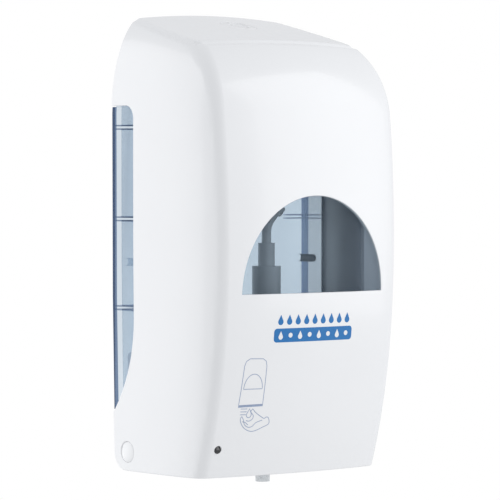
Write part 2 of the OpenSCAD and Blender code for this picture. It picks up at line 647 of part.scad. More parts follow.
module sensor_board() on_wall() color("darkgreen") difference() {
    rounded_block(-34, 34, 22, 42, 9, 10.6, 2);
    for (x = [-30, 30]) rod_z(x, 30, 8, 12, 1.5);
}
module ir_part(x) {
    rod_z(x, 34, 6.4, 9, 2.5);
    translate([x, -34, 6.4]) sphere(r = 2.48);
}
module ir_emitter() on_wall() color([0.75, 0.80, 0.95]) ir_part(-12);
module ir_receiver() on_wall() color([0.2, 0.1, 0.25]) ir_part(12);
module led_holder() on_wall() color("whitesmoke") difference() {
    block(led_x - 3.5, led_x + 3.5, 68, 72.5, tray_z + tray_t, led_z + 5);
    rod_q(led_x, 66, 80, led_z, 2.5);
}
module status_led() on_wall() color("crimson") {
    rod_q(led_x, 68.3, 79, led_z, 2.5);
    translate([led_x, -79, led_z]) sphere(r = 2.5);
}
module control_box() on_wall() color("gainsboro") difference() {
    wall_sheet(plate_t, 72) rounded(51, 69, 12, 86, 3);
    wall_sheet(plate_t - 1, 70) rounded(52.6, 67.4, 13.6, 84.4, 1.5);
    block(57.8, 62.2, 68, 74, 57.5, 68.5);
}
module control_board() on_wall() color("darkgreen") wall_sheet(60, 61.6) rounded(53, 67, 14, 84, 1.2);
module power_switch() on_wall() color([0.15, 0.15, 0.17]) difference() {
    block(56.5, 63.5, 61.6, 68.4, 55, 71);
    block(58.2, 61.8, 65, 69, 58, 68);
}
module switch_knob() on_wall() color("royalblue") {
    block(58.4, 61.6, 65.2, 75, 58.4, 63.4);
}
// four AA cells side by side; the cartridge slides out forwards and opens on its inner side
module cartridge_outline() { rounded(plate_t, 68, 10, 74, 3); }
module battery_box() on_wall() color("lightgray") difference() {
    side_sheet(-68, -50.5) cartridge_outline();
    block(-66.5, -50, 8, 66.5, 12, 72);
}
module battery_door() on_wall() color("whitesmoke") {
    side_sheet(-50.5, -48.5) cartridge_outline();
    side_sheet(-51.8, -50.5 + e) difference() {
        rounded(8.3, 66.2, 12.3, 71.7, 0.8);
        rounded(9.5, 65, 13.5, 70.5, 0.6);
    }
}
module at_cells() { for (k = [0:3]) translate([-59.1, -15.4 - 2 * cell_r * k, 0]) children(); }
module batteries() on_wall() color("darkorange") at_cells() {
    translate([0, 0, 16]) cylinder(h = cell_h, r = cell_r - 0.1);
    translate([0, 0, 16 + cell_h - e]) cylinder(h = 1.5, r = 2.7);
}
module battery_contacts() on_wall() color("silver") at_cells() {
    translate([-5, -5, 12]) cube([10, 10, 0.5]);
    translate([0, 0, 12.5 - e]) cylinder(h = 3.5 + e, r1 = 4.5, r2 = 2.5);
    translate([-5, -5, 71.5]) cube([10, 10, 0.5]);
    translate([0, 0, 66.5]) cylinder(h = 5 + e, r = 3);
}

// ---- screws ----

module chassis_screws() on_wall() color("silver") {
    for (x = post_x) for (z = post_z) screw_q(x, chassis_q + chassis_t, z, 1.3, 12, 2.8, 2);
}
module striker_screw() on_wall() color("silver") screw_q(striker_x, plate_t + 2, striker_z, 1.3, 4, 2.6, 1.8);
module pump_screws() on_wall() color("silver") at_head_screws()
    screw_q(0, head_q + head_t, 0, 1.3, 12, 2.6, 1.8);
module tray_screws() on_wall() color("silver") for (x = [-30, 30]) difference() {
    union() {
        rod_z(x, 30, 4.5, 10.6, 1.1);
        rod_z(x, 30, 10.6, 12.2, 2.4);
    }
    for (turn = [0, 90]) translate([x, -30, 12.2]) rotate(turn) cube([2.8, 0.6, 1.6], center = true);
}

front_cover();
window_lens();
indicator_plug();
hinge_pins();
lock_housing();
lock_cylinder();
lock_cam();
lock_nut();
back_plate();
lock_striker();
tank_shelf();
soap_tank();
tank_roof();
tank_lid();
lid_pin();
lid_seal();
outlet_valve();
valve_seal();
pickup_tube();
pump_chassis();
pump_head();
pump_head_cover();
pump_tube();
rotor();
rotor_shaft();
rollers();
roller_pins();
rotor_bush();
rotor_gear();
idler_gear();
idler_pin();
motor();
motor_shaft();
motor_pinion();
gear_cover();
nozzle();
nozzle_grommet();
bottom_tray();
sensor_window();
sensor_board();
ir_emitter();
ir_receiver();
led_holder();
status_led();
control_box();
control_board();
power_switch();
switch_knob();
battery_box();
battery_door();
batteries();
battery_contacts();
chassis_screws();
pump_screws();
tray_screws();
striker_screw();
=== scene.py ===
"""Looks of the wall mounted soap dispenser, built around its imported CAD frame.

Shapes are worked out in millimetres, as (x, q, z): x to the right, q out from the wall and z up from the
lower edge of the cover. place() turns them into the frame's metres.
"""

import json
import math

import bmesh
import bpy
import numpy as np
from mathutils import Matrix, Vector


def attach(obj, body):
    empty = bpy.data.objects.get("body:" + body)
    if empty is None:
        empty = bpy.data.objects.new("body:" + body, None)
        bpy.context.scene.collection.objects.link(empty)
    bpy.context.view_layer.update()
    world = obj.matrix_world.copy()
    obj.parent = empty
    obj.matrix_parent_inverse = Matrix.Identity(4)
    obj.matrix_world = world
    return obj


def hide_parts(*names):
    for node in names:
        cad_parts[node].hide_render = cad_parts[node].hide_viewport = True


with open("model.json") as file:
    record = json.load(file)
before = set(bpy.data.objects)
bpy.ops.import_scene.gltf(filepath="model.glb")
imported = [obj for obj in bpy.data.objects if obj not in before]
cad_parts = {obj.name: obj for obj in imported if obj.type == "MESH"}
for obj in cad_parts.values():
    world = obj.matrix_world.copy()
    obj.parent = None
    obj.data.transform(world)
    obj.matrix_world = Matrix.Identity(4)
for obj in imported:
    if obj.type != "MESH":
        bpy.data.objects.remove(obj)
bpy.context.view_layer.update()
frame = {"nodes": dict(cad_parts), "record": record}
NODES = frame["nodes"]
BODY_OF = {node: body for body, nodes in frame["record"]["behaviour"]["bodies"].items() for node in nodes}
SLOT_OF = {s["node"]: s["material_slot"] for s in frame["record"]["subparts"]}

# ---- the cover's shape, in millimetres ----
MOUNT_Z = 134.0                 # height of the frame's origin above the cover's lower edge
BODY_W, BODY_D, BODY_H = 156.4, 109.8, 288.2
COVER_T = 2.8
LOW_Z, LOW_DRAW = 158.0, 1.0
SHOULDER_Z, SHOULDER_H, SHOULDER_W = 223.4, 66.7, 30.6
SIDE_TAPER = (1.64, 2.58, 2.05)
BELLY_Z, BELLY_UP, BELLY_DOWN = 144.5, 7.16, (7.73, 2.06)
FRONT_BOW, BROW_BOW, TOP_BOW = 1.225e-3, 1.518e-3, 0.903e-3   # how each face bows across its width
TOP_SLOPE, BROW_Z, BROW_SLOPE = 0.237, 318.9, 0.628
CORNER_R, CORNER_MORE = 4.8, 0.35        # rounding of the front's upright edges, more towards the top
MORE_FROM, MORE_OVER = 190, 90
# how the sides bend in before they meet the front, and the front before it meets the sides
SIDE_TURN, SIDE_TURN_FROM, SIDE_TURN_OVER = 2.7, 43, 45
FACE_TURN, FACE_TURN_FROM, FACE_TURN_OVER = 0.3, 36, 35
BROW_BLEND = 21.0
FRONT_CREASE, SIDE_CREASE = 0.7, 1.4     # half widths of the groove around the top panel
CREASE_DEPTH, CREASE_DEEPER = 0.6, 1.0   # its depth at the sides, and how much deeper it is in front
CREASE_TURN, CREASE_BLEND = 6, 2.2
WINDOW_A, WINDOW_B, WINDOW_Z = 55.3, 60.0, 113.4
NOTCH_Q, NOTCH_TOP, NOTCH_TAPER_Z, NOTCH_TIP_Z = 22.5, 229.5, 98.0, 37.0
HINGE_Q, HINGE_Z = 13.6, 12.0
LOCK_Q = 30.0
LED_X, LED_Z = -61.3, 18.0
FOOT_R = 11.5
RIB_Z = (102.4, 158.4, 216.0)   # the back plate's ribs
FAN_Z = 212.0                   # the cover's upper rows fan about a level line at this height


def half_width(z):
    """Half of the width at a height, at the wall: a little less below, rounded off at the shoulders."""
    low = LOW_DRAW * (np.minimum(z - LOW_Z, 0) / 100) ** 2
    t = np.clip((z - SHOULDER_Z) / SHOULDER_H, 0, 0.9999)
    return BODY_W / 2 - low - SHOULDER_W * (1 - np.sqrt(1 - t * t))


def taper(q):
    """How far each side comes in at a distance q from the wall."""
    q = q / 100
    return SIDE_TAPER[0] * q + SIDE_TAPER[1] * q ** 2 + SIDE_TAPER[2] * q ** 4


def front_q(z):
    """Where the front stands on the middle line at a height: furthest out at BELLY_Z."""
    up = np.maximum(z - BELLY_Z, 0) / 100
    down = np.maximum(BELLY_Z - z, 0) / 100
    return BODY_D - BELLY_UP * up ** 2 - BELLY_DOWN[0] * down ** 2 - BELLY_DOWN[1] * down ** 3


def soft_max(a, b, k):
    """Larger of two distances, blended with a parabola where they differ by less than k."""
    return np.maximum(a, b) + np.maximum(k - np.abs(a - b), 0) ** 2 / (4 * k)


def round_max(a, b, r):
    """Larger of two distances, the edge between them rounded to radius r."""
    return np.minimum(np.maximum(a, b), -r) + np.hypot(np.maximum(a + r, 0), np.maximum(b + r, 0))


def skin(p):
    """Distance of points (x, q, z) from the cover's outer skin, negative inside."""
    x, q, z = p[..., 0], p[..., 1], p[..., 2]
    front = q - front_q(z) + FRONT_BOW * x * x
    brow = (z - BROW_Z + BROW_SLOPE * q + BROW_BOW * x * x) / math.hypot(1, BROW_SLOPE)
    sides = np.abs(x) - half_width(z) + taper(q)
    top = z - BODY_H + TOP_SLOPE * q + TOP_BOW * x * x
    face = soft_max(front, brow, BROW_BLEND)
    more = 1 + CORNER_MORE * np.clip((z - MORE_FROM) / MORE_OVER, 0, 1) ** 2
    side_turn = SIDE_TURN * more * np.clip((face + SIDE_TURN_FROM) / SIDE_TURN_OVER, 0, None) ** 3
    face_turn = FACE_TURN * more * np.clip((sides + FACE_TURN_FROM) / FACE_TURN_OVER, 0, None) ** 3
    sides, face = sides + side_turn, face + face_turn
    below = round_max(face, sides, CORNER_R * more)
    ahead = np.clip((face - sides) / CREASE_TURN + 0.5, 0, 1)
    width = SIDE_CREASE + (FRONT_CREASE - SIDE_CREASE) * ahead
    groove = (CREASE_DEPTH + CREASE_DEEPER * ahead) * np.exp(-((below - top) / width) ** 2)
    return soft_max(below, top, CREASE_BLEND * width) + groove


HALVINGS = 40                   # steps of the search for the skin along a line


def skin_normal(p):
    """Outward unit normal of the skin's level surface through each point."""
    step = 0.05
    slopes = []
    for axis in range(3):
        d = np.zeros(3)
        d[axis] = step
        slopes.append(skin(p + d) - skin(p - d))
    n = np.stack(slopes, -1)
    return n / np.linalg.norm(n, axis=-1, keepdims=True)


def on_rays(start, rays, inset):
    """Where rays from inside meet the skin's inner offset."""
    near, far = np.full(rays.shape[:-1], 5.0), np.full(rays.shape[:-1], 340.0)
    for _ in range(HALVINGS):
        mid = (near + far) / 2
        inside = skin(start + rays * mid[..., None]) < -inset
        near, far = np.where(inside, mid, near), np.where(inside, far, mid)
    return start + rays * near[..., None]


def front_at(x, z, inset):
    """Points of the front's inner offset at places x, z."""
    x, z = np.broadcast_arrays(np.asarray(x, float), np.asarray(z, float))
    near, far = np.full(x.shape, 30.0), np.full(x.shape, 130.0)
    for _ in range(HALVINGS):
        mid = (near + far) / 2
        inside = skin(np.stack([x, mid, z], -1)) < -inset
        near, far = np.where(inside, mid, near), np.where(inside, far, mid)
    return np.stack([x, near, z], -1)


def place(p):
    """Points (x, q, z) in millimetres to the frame's metres."""
    p = np.asarray(p, float)
    return np.stack([p[..., 0], -p[..., 1], p[..., 2] - MOUNT_Z], -1) / 1000


def unplace(co):
    co = np.asarray(co, float) * 1000
    return np.stack([co[..., 0], -co[..., 1], co[..., 2] + MOUNT_Z], -1)


# ---- mesh helpers ----

SAME_POINT = 2e-6               # metres


def new_object(name, points, faces):
    mesh = bpy.data.meshes.new(name)
    mesh.from_pydata([tuple(p) for p in place(points)], [], [tuple(f) for f in faces])
    mesh.validate()
    obj = bpy.data.objects.new(name, mesh)
    bpy.context.scene.collection.objects.link(obj)
    return obj


def clean(obj, dist=SAME_POINT):
    """Joins doubled points and turns all faces outward."""
    bm = bmesh.new()
    bm.from_mesh(obj.data)
    bmesh.ops.remove_doubles(bm, verts=bm.verts, dist=dist)
    bmesh.ops.dissolve_degenerate(bm, edges=bm.edges, dist=dist / 4)
    bmesh.ops.recalc_face_normals(bm, faces=bm.faces)
    bm.to_mesh(obj.data)
    bm.free()
    return obj


def apply_modifiers(obj):
    depsgraph = bpy.context.evaluated_depsgraph_get()
    mesh = bpy.data.meshes.new_from_object(obj.evaluated_get(depsgraph))
    obj.modifiers.clear()
    obj.data = mesh
    return obj


def smooth(obj, angle):
    obj.data.shade_smooth()
    obj.data.set_sharp_from_angle(angle=math.radians(angle))
    return obj


def tube_faces(count, n):
    """Faces between neighbouring rings of n points each, with a flat face on both ends."""
    faces = []
    for k in range(count - 1):
        for i in range(n):
            j = (i + 1) % n
            faces.append((k * n + i, k * n + j, (k + 1) * n + j, (k + 1) * n + i))
    faces.append(tuple(range(n))[::-1])
    faces.append(tuple(range((count - 1) * n, count * n)))
    return faces


def loft(name, rings):
    """Skins rings of the same number of points, in order, with flat ends."""
    points = np.concatenate([np.asarray(r, float) for r in rings])
    return clean(new_object(name, points, tube_faces(len(rings), len(rings[0]))))


def finish_piece(obj, body, material, replaces=()):
    """Gives a piece its material, hangs it on the body it rides on and hides the nodes it stands for."""
    obj.data.materials.clear()
    obj.data.materials.append(material)
    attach(obj, body)
    if replaces:
        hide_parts(*replaces)


# ---- materials ----

NOISE_ROUGHNESS = 0.55


class Nodes:
    """A new material's node tree, with short calls for what the materials share."""

    def __init__(self, name):
        self.mat = bpy.data.materials.new(name)
        self.mat.use_nodes = True
        self.tree = self.mat.node_tree
        self.tree.nodes.clear()
        self.out = self.add("ShaderNodeOutputMaterial")
        self.coords = self.add("ShaderNodeTexCoord").outputs["Object"]

    def add(self, kind, **settings):
        node = self.tree.nodes.new(kind)
        for key, value in settings.items():
            setattr(node, key, value)
        return node

    def link(self, a, b):
        self.tree.links.new(a, b)

    def noise(self, scale, detail, stretch=None):
        node = self.add("ShaderNodeTexNoise")
        node.inputs["Scale"].default_value = scale
        node.inputs["Detail"].default_value = detail
        node.inputs["Roughness"].default_value = NOISE_ROUGHNESS
        source = self.coords
        if stretch:
            mapping = self.add("ShaderNodeMapping")
            mapping.inputs["Scale"].default_value = stretch
            self.link(self.coords, mapping.inputs["Vector"])
            source = mapping.outputs["Vector"]
        self.link(source, node.inputs["Vector"])
        return node.outputs["Fac"]

    def ramp(self, factor, stops):
        node = self.add("ShaderNodeValToRGB")
        ramp = node.color_ramp
        while len(ramp.elements) < len(stops):
            ramp.elements.new(0.5)
        for element, (position, colour) in zip(ramp.elements, stops):
            element.position = position
            element.color = (*colour, 1)
        self.link(factor, node.inputs["Fac"])
        return node.outputs["Color"]

    def spread(self, factor, low, high):
        node = self.add("ShaderNodeMapRange")
        node.inputs["To Min"].default_value = low
        node.inputs["To Max"].default_value = high
        self.link(factor, node.inputs["Value"])
        return node.outputs["Result"]

    def bump(self, height, distance, strength):
        node = self.add("ShaderNodeBump")
        node.inputs["Strength"].default_value = strength
        node.inputs["Distance"].default_value = distance
        self.link(height, node.inputs["Height"])
        return node.outputs["Normal"]

    def principled(self, **values):
        node = self.add("ShaderNodeBsdfPrincipled")
        for key, value in values.items():
            node.inputs[key.replace("_", " ")].default_value = value
        return node

    def surface(self, shader):
        self.link(shader, self.out.inputs["Surface"])
        return self.mat


def tint(colour, factor):
    return tuple(min(1, c * factor) for c in colour)


def moulded(name, colour, rough=0.3, grain=0.00002, grain_scale=2600, vary=0.03, coat=0.0):
    """Injection moulded plastic: faint colour drift, fine grain and uneven gloss."""
    n = Nodes(name)
    bsdf = n.principled(Coat_Weight=coat, Coat_Roughness=0.08, IOR=1.49)
    drift = n.noise(18, 4)
    colours = [(0.3, tint(colour, 1 - vary)), (0.7, tint(colour, 1 + vary))]
    n.link(n.ramp(drift, colours), bsdf.inputs["Base Color"])
    n.link(n.spread(n.noise(60, 5), rough * 0.8, rough * 1.25), bsdf.inputs["Roughness"])
    n.link(n.bump(n.noise(grain_scale, 2), grain, 0.35), bsdf.inputs["Normal"])
    return n.surface(bsdf.outputs["BSDF"])


RIM_X, RIM_Y = 0.0754, -0.0047           # metres, where the back plate's rim is thick
RIB_EDGE, RIB_LINE, RIB_X = 0.0011, 0.00045, 0.060
RIB_SHADE = 0.6
# dark smoke of the back plate's thick rim, also used as painted shade along the rib edges
RIM_AND_RIB_SHADE_DARK = (0.20, 0.27, 0.40, 1)
CLEAR_SHINE = 0.22                       # most that grazing shine hides of what is behind


def rim_and_rib_edge_shade(n):
    """How dark the back plate's thick rim is, and the painted shade along its rib edges, from places on
    the plate.
    """
    axes = n.add("ShaderNodeSeparateXYZ")
    n.link(n.add("ShaderNodeTexCoord").outputs["Object"], axes.inputs[0])

    def value(operation, a, b=0.0, c=0.0):
        node = n.add("ShaderNodeMath", operation=operation, use_clamp=operation == "MULTIPLY")
        for k, source in enumerate((a, b, c)):
            if isinstance(source, (int, float)):
                node.inputs[k].default_value = source
            else:
                n.link(source, node.inputs[k])
        return node.outputs[0]

    out = value("ABSOLUTE", axes.outputs["X"])
    at_wall = value("GREATER_THAN", axes.outputs["Y"], RIM_Y)
    rim = value("MULTIPLY", value("GREATER_THAN", out, RIM_X), at_wall)
    ribs = 0.0
    # painted shade: a thin dark line along the upper and lower edge of each rib, near the sides
    for z in RIB_Z:
        away = value("ABSOLUTE", value("SUBTRACT", axes.outputs["Z"], (z - MOUNT_Z) / 1000))
        ribs = value("MAXIMUM", ribs, value("COMPARE", away, RIB_EDGE, RIB_LINE))
    ribs = value("MULTIPLY", ribs, value("GREATER_THAN", out, RIB_X))
    return value("MAXIMUM", rim, value("MULTIPLY", ribs, RIB_SHADE))


def see_through(name, pass_colour, body_colour, haze, rough, scuff, lines=None):
    """Thin clear or smoked plastic: a tinted pane that also shines and is a little milky."""
    n = Nodes(name)
    clear = n.add("ShaderNodeBsdfTransparent")
    colour = n.ramp(n.noise(9, 3), [(0.3, tint(pass_colour, 0.985)), (0.7, tint(pass_colour, 1.015))])
    # lines darkens the pane: the back plate's thick rim, and painted shade along its rib edges
    if lines:
        dark = n.add("ShaderNodeMix", data_type="RGBA")
        n.link(lines(n), dark.inputs["Factor"])
        n.link(colour, dark.inputs["A"])
        dark.inputs["B"].default_value = RIM_AND_RIB_SHADE_DARK
        colour = dark.outputs["Result"]
    n.link(colour, clear.inputs["Color"])
    solid = n.principled(IOR=1.49)
    n.link(n.ramp(n.noise(30, 4), [(0.3, tint(body_colour, 0.94)), (0.7, tint(body_colour, 1.06))]),
           solid.inputs["Base Color"])
    n.link(n.spread(n.noise(140, 5), rough * 0.7, rough * 1.6), solid.inputs["Roughness"])
    n.link(n.bump(n.noise(700, 3), 0.00001, 0.3), solid.inputs["Normal"])
    fresnel = n.add("ShaderNodeFresnel")
    fresnel.inputs["IOR"].default_value = 1.35
    add = n.add("ShaderNodeMath", operation="ADD", use_clamp=True)
    limit = n.add("ShaderNodeMath", operation="MINIMUM")
    n.link(fresnel.outputs["Fac"], limit.inputs[0])
    limit.inputs[1].default_value = CLEAR_SHINE
    n.link(limit.outputs[0], add.inputs[0])
    n.link(n.spread(n.noise(40, 5), haze - scuff / 2, haze + scuff / 2), add.inputs[1])
    mix = n.add("ShaderNodeMixShader")
    n.link(add.outputs[0], mix.inputs[0])
    n.link(clear.outputs[0], mix.inputs[1])
    n.link(solid.outputs[0], mix.inputs[2])
    return n.surface(mix.outputs[0])


def metal(name, colour, rough, brushed):
    """Turned or drawn metal, with fine marks drawn out along one axis."""
    n = Nodes(name)
    bsdf = n.principled(Metallic=1.0)
    colours = [(0.25, tint(colour, 0.86)), (0.75, tint(colour, 1.08))]
    n.link(n.ramp(n.noise(50, 4), colours), bsdf.inputs["Base Color"])
    n.link(n.spread(n.noise(900, 4, stretch=brushed), rough * 0.65, rough * 1.4), bsdf.inputs["Roughness"])
    n.link(n.bump(n.noise(1800, 3, stretch=brushed), 0.00002, 0.3), bsdf.inputs["Normal"])
    return n.surface(bsdf.outputs["BSDF"])


def rubber(name, colour, rough=0.55):
    """Dull rubber with a mottled surface."""
    n = Nodes(name)
    bsdf = n.principled(IOR=1.5)
    colours = [(0.3, tint(colour, 0.85)), (0.7, tint(colour, 1.15))]
    n.link(n.ramp(n.noise(60, 5), colours), bsdf.inputs["Base Color"])
    n.link(n.spread(n.noise(300, 4), rough * 0.85, rough * 1.2), bsdf.inputs["Roughness"])
    n.link(n.bump(n.noise(1600, 4), 0.00004, 0.5), bsdf.inputs["Normal"])
    return n.surface(bsdf.outputs["BSDF"])


def circuit(name):
    """Green solder mask with lighter tracks and a fine weave."""
    n = Nodes(name)
    bsdf = n.principled(IOR=1.5)
    brick = n.add("ShaderNodeTexBrick")
    brick.inputs["Scale"].default_value = 260
    brick.inputs["Mortar Size"].default_value = 0.035
    brick.inputs["Color1"].default_value = (0.012, 0.11, 0.045, 1)
    brick.inputs["Color2"].default_value = (0.016, 0.13, 0.055, 1)
    brick.inputs["Mortar"].default_value = (0.05, 0.27, 0.12, 1)
    n.link(n.coords, brick.inputs["Vector"])
    n.link(brick.outputs["Color"], bsdf.inputs["Base Color"])
    n.link(n.spread(n.noise(200, 4), 0.25, 0.45), bsdf.inputs["Roughness"])
    n.link(n.bump(brick.outputs["Fac"], 0.00003, 0.5), bsdf.inputs["Normal"])
    return n.surface(bsdf.outputs["BSDF"])


MATERIALS = {
    "white_shell": moulded("white_shell", (0.86, 0.868, 0.878), 0.24, 0.000012, 3200, 0.006, 0.25),
    "smoked_lens": see_through("smoked_lens", (0.925, 0.965, 0.998), (0.16, 0.20, 0.27), 0.004, 0.06,
                               0.004),
    "smoked_shell": see_through("smoked_shell", (0.865, 0.905, 0.94), (0.25, 0.34, 0.44), 0.012, 0.14,
                                0.01, rim_and_rib_edge_shade),
    "clear_tank": see_through("clear_tank", (0.985, 0.992, 0.996), (0.72, 0.78, 0.84), 0.008, 0.12, 0.008),
    "blue_lid": moulded("blue_lid", (0.08, 0.17, 0.34), 0.32),
    "white_plastic": moulded("white_plastic", (0.74, 0.75, 0.765), 0.42, 0.00004, 1400, 0.02),
    "grey_plastic": moulded("grey_plastic", (0.26, 0.275, 0.30), 0.45, 0.00004, 1400, 0.04),
    "natural_plastic": see_through("natural_plastic", (0.85, 0.88, 0.90), (0.93, 0.95, 0.97), 0.62, 0.3,
                                   0.06),
    "black_plastic": moulded("black_plastic", (0.008, 0.008, 0.010), 0.12, 0.00001, 1400, 0.1, 0.5),
    "ivory_gear": moulded("ivory_gear", (0.72, 0.69, 0.60), 0.38, 0.00003, 1500, 0.03),
    "blue_rotor": moulded("blue_rotor", (0.05, 0.14, 0.32), 0.35, 0.00003, 1500, 0.05),
    "soft_tube": see_through("soft_tube", (0.86, 0.89, 0.90), (0.80, 0.84, 0.86), 0.5, 0.35, 0.05),
    "dark_rubber": rubber("dark_rubber", (0.018, 0.018, 0.02)),
    "steel": metal("steel", (0.58, 0.59, 0.61), 0.3, (1, 14, 1)),
    "brass": metal("brass", (0.72, 0.55, 0.25), 0.3, (1, 14, 1)),
    "board": circuit("board"),
    "red_led": moulded("red_led", (0.55, 0.02, 0.02), 0.12, 0.00001, 900, 0.1, 0.6),
    "blue_knob": moulded("blue_knob", (0.03, 0.09, 0.42), 0.3),
    "cell_wrap": moulded("cell_wrap", (0.03, 0.033, 0.04), 0.22, 0.00001, 900, 0.1, 0.4),
}


# ---- cover ----

def cup_rows():
    """Rows of the cover from its foot to its top, as (start height, tilt in degrees)."""
    heights = np.concatenate([[1.2], np.linspace(3, FAN_Z, 80)])
    tilts = np.concatenate([np.linspace(0, 34.5, 24)[1:], np.linspace(34.5, 39, 31)[1:],
                            np.linspace(39, 90, 36)[1:]])
    return [(z, 0) for z in heights] + [(FAN_Z, t) for t in tilts]


def columns():
    """Sideways angles of the cover's columns, closer together where the top panel's crease runs."""
    half = np.concatenate([np.linspace(0, 25, 24), np.linspace(25, 29, 8)[1:],
                           np.linspace(29, 35.5, 31)[1:], np.linspace(35.5, 90, 50)[1:]])
    return np.concatenate([-half[:0:-1], half])


def ray_row(z, tilt, inset):
    t = np.radians(columns())
    a = math.radians(tilt)
    rays = np.stack([np.sin(t), np.cos(t) * math.cos(a), np.cos(t) * math.sin(a)], -1)
    return on_rays(np.array([0, 0, float(z)]), rays, inset)


def cover_cup():
    rows = cup_rows()
    cols = len(columns())
    outer = [ray_row(z, tilt, 0) for z, tilt in rows]
    inner = [ray_row(z, tilt, COVER_T) for z, tilt in rows]
    rim_r = 0.8
    turns = np.radians([0, 30, 60, 90])
    rim = [ray_row(rim_r * (1 - math.cos(a)), 0, rim_r * (1 - math.sin(a))) for a in turns]
    rim_in = [ray_row(rim_r * (1 - math.sin(a)), 0, COVER_T - rim_r * (1 - math.cos(a))) for a in turns]
    # outer rows go up, inner rows come down, and the rim closes them under the foot
    ring = rim + outer + inner[::-1] + rim_in
    n = len(ring)
    points = np.concatenate(ring)
    points[:, 1] = np.maximum(points[:, 1], 0)
    faces = []
    for r in range(n):
        s = (r + 1) % n
        for c in range(cols - 1):
            faces.append((r * cols + c, r * cols + c + 1, s * cols + c + 1, s * cols + c))
    # the two ends against the wall: a ladder between the outer and the inner rows
    foot = len(rim) + len(outer)
    for c in (0, cols - 1):
        for k in range(foot - 1):
            a, b = k, k + 1
            d, e = n - 1 - k, n - 2 - k
            faces.append((a * cols + c, b * cols + c, e * cols + c, d * cols + c))
    return clean(new_object("cover", points, faces), 4e-6)


def window_ring(grow, inset, count=120):
    """The window's outline on the skin's inner offset."""
    a, b, base = WINDOW_A + grow, WINDOW_B + grow, WINDOW_Z - grow
    t = np.linspace(0, math.pi, count)
    x = a * np.cos(t)
    z = WINDOW_Z + b * np.sin(t)
    # the flat bottom, with the arc's end points moved down onto it
    low_x = np.linspace(-a, a, 60)[1:-1]
    x = np.concatenate([x, low_x])
    z = np.concatenate([z, np.full(len(low_x), base)])
    z[0] = z[count - 1] = base
    return front_at(x, z, inset)


def notch_line(grow, n_arc=40):
    """Half outline of the side cutout in q and z, open at the wall."""
    gap = -grow
    big = (NOTCH_Q ** 2 + (NOTCH_TAPER_Z - NOTCH_TIP_Z) ** 2) / (2 * NOTCH_Q)
    r, cq = big - gap, NOTCH_Q - big
    last = math.acos((-2 - cq) / r)
    a = -np.linspace(last, 0, n_arc)
    curve = np.stack([cq + r * np.cos(a), NOTCH_TAPER_Z + r * np.sin(a)], -1)
    t = np.radians(np.linspace(0, 90, 16))
    round_r = 8
    corner = np.stack([NOTCH_Q - gap - round_r * (1 - np.cos(t)),
                       NOTCH_TOP - gap - round_r * (1 - np.sin(t))], -1)
    straight = np.stack([np.full(30, NOTCH_Q - gap),
                         np.linspace(NOTCH_TAPER_Z, corner[0, 1], 32)[1:-1]], -1)
    end = np.array([[-2, NOTCH_TOP - gap]])
    return np.concatenate([curve, straight, corner, end])


CUT_INSIDE, CUT_OUTSIDE = 64.0, 90.0     # how near the middle and how far out the side cutters reach


def notch_cutter(side):
    rings = []
    for grow, inset in ((0.45, None), (0.45, 0.0), (0.13, 0.13), (0.0, 0.45), (0.0, 3.2), (0.0, None)):
        line = notch_line(grow)
        q, z = line[:, 0], line[:, 1]
        if inset is None:
            x = np.full(len(q), CUT_INSIDE if rings else CUT_OUTSIDE)
        else:
            x = half_width(z) - taper(np.maximum(q, 0)) - inset
        rings.append(np.stack([side * x, q, z], -1))
    return loft("cut_notch", rings)


def window_cutter():
    steps = ((0.4, 0), (0.4, 0), (0.12, 0.12), (0, 0.4), (0, 3.6), (0, 0))
    rings = [window_ring(grow, inset) for grow, inset in steps]
    rings[0][:, 1] = 120
    rings[-1][:, 1] = 90
    return loft("cut_window", rings)


def disc_rings(steps, count):
    """Rings about local z: each step is (radius, height)."""
    t = np.linspace(0, 2 * math.pi, count, endpoint=False)
    return [np.stack([r * np.cos(t), r * np.sin(t), np.full(count, h)], -1) for r, h in steps]


def spin(name, steps, matrix, count):
    """A turned shape: steps of (radius, height) about local z, put in place by a frame matrix."""
    points = np.concatenate(disc_rings(steps, count)) / 1000
    mesh = bpy.data.meshes.new(name)
    mesh.from_pydata([tuple(p) for p in points], [], tube_faces(len(steps), count))
    mesh.transform(matrix)
    obj = bpy.data.objects.new(name, mesh)
    bpy.context.scene.collection.objects.link(obj)
    return clean(obj)


def at(x, q, z, direction):
    """Matrix that puts a turned shape's axis at a place, along a frame direction."""
    turn = Vector((0, 0, 1)).rotation_difference(Vector(direction)).to_matrix().to_4x4()
    return Matrix.Translation(Vector(place((x, q, z)))) @ turn


LOCK_MATRIX = (Matrix.Translation(Vector(place((0, LOCK_Q, BODY_H - TOP_SLOPE * LOCK_Q))))
               @ Matrix.Rotation(math.atan(TOP_SLOPE), 4, "X"))


def foot_cutter():
    """What the rounding of the lower rear edge takes away, right across the cover."""
    t = np.radians(np.linspace(180, 270, 24))
    curve = np.stack([FOOT_R + FOOT_R * np.cos(t), FOOT_R + FOOT_R * np.sin(t)], -1)
    line = np.concatenate([curve, [[FOOT_R, -3], [-3, -3], [-3, FOOT_R]]])
    rings = [np.stack([np.full(len(line), x), line[:, 0], line[:, 1]], -1) for x in (-90.0, 90.0)]
    return loft("cut_foot", rings)


def cut(obj, cutters):
    """Takes the cutters away from obj, all at once."""
    bpy.ops.object.select_all(action="DESELECT")
    for c in cutters:
        c.select_set(True)
    bpy.context.view_layer.objects.active = cutters[0]
    bpy.ops.object.join()
    tool = bpy.context.view_layer.objects.active
    boolean = obj.modifiers.new("cut", "BOOLEAN")
    boolean.operation = "DIFFERENCE"
    boolean.solver = "EXACT"
    boolean.object = tool
    apply_modifiers(obj)
    bpy.data.objects.remove(tool)
    return obj


NEAR_SKIN, ALIGNED = 0.02, 0.86          # millimetres from the skin, and cosine of the angle to it


